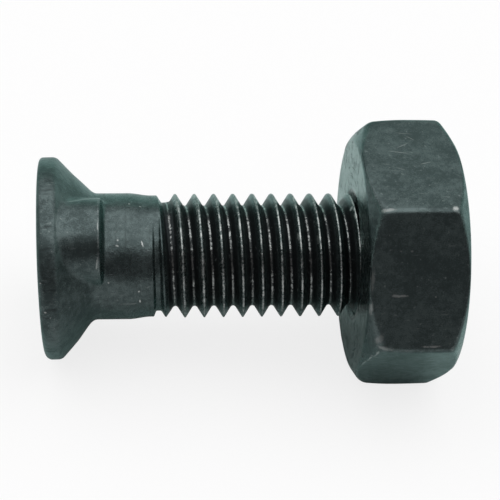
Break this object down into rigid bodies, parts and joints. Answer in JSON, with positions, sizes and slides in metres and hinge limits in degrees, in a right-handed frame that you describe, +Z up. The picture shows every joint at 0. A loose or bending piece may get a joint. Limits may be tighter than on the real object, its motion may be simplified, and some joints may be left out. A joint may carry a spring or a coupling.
{
  "type": "oval head bolt with nut",
  "caption": "Oval countersunk plough bolt with a locating nib and a coarse right-hand thread, carrying a heavy hexagon nut, in blackened steel.",
  "frame": {"origin": "on the bolt's axis, where the countersunk seat meets the shank", "axes": "+X runs from the head towards the nut, +Z is up, and the front, which the nib half faces, looks along -Y. The bolt lies on its side, so its axis rises 3.25 degrees from +X towards +Z, from the head's rim to the nut's larger flat."},
  "size_m": [0.0327, 0.0212, 0.0189],
  "materials": {
    "bolt_steel": "dark phosphate with a faint green tint, worn bright along the thread's crests and the nib's corners",
    "nut_steel": "black phosphate with a faint green tint, satin, with worn corners and fine scratches"
  },
  "bodies": {
    "bolt": {"bolt": "bolt_steel"},
    "nut": {"nut": "nut_steel"}
  },
  "joints": [
    {"name": "nut_travel", "type": "slide", "parent": "bolt", "child": "nut", "axis": [0.9984, 0, 0.0568], "range_m": [-0.0135, 0.006]}
  ]
}
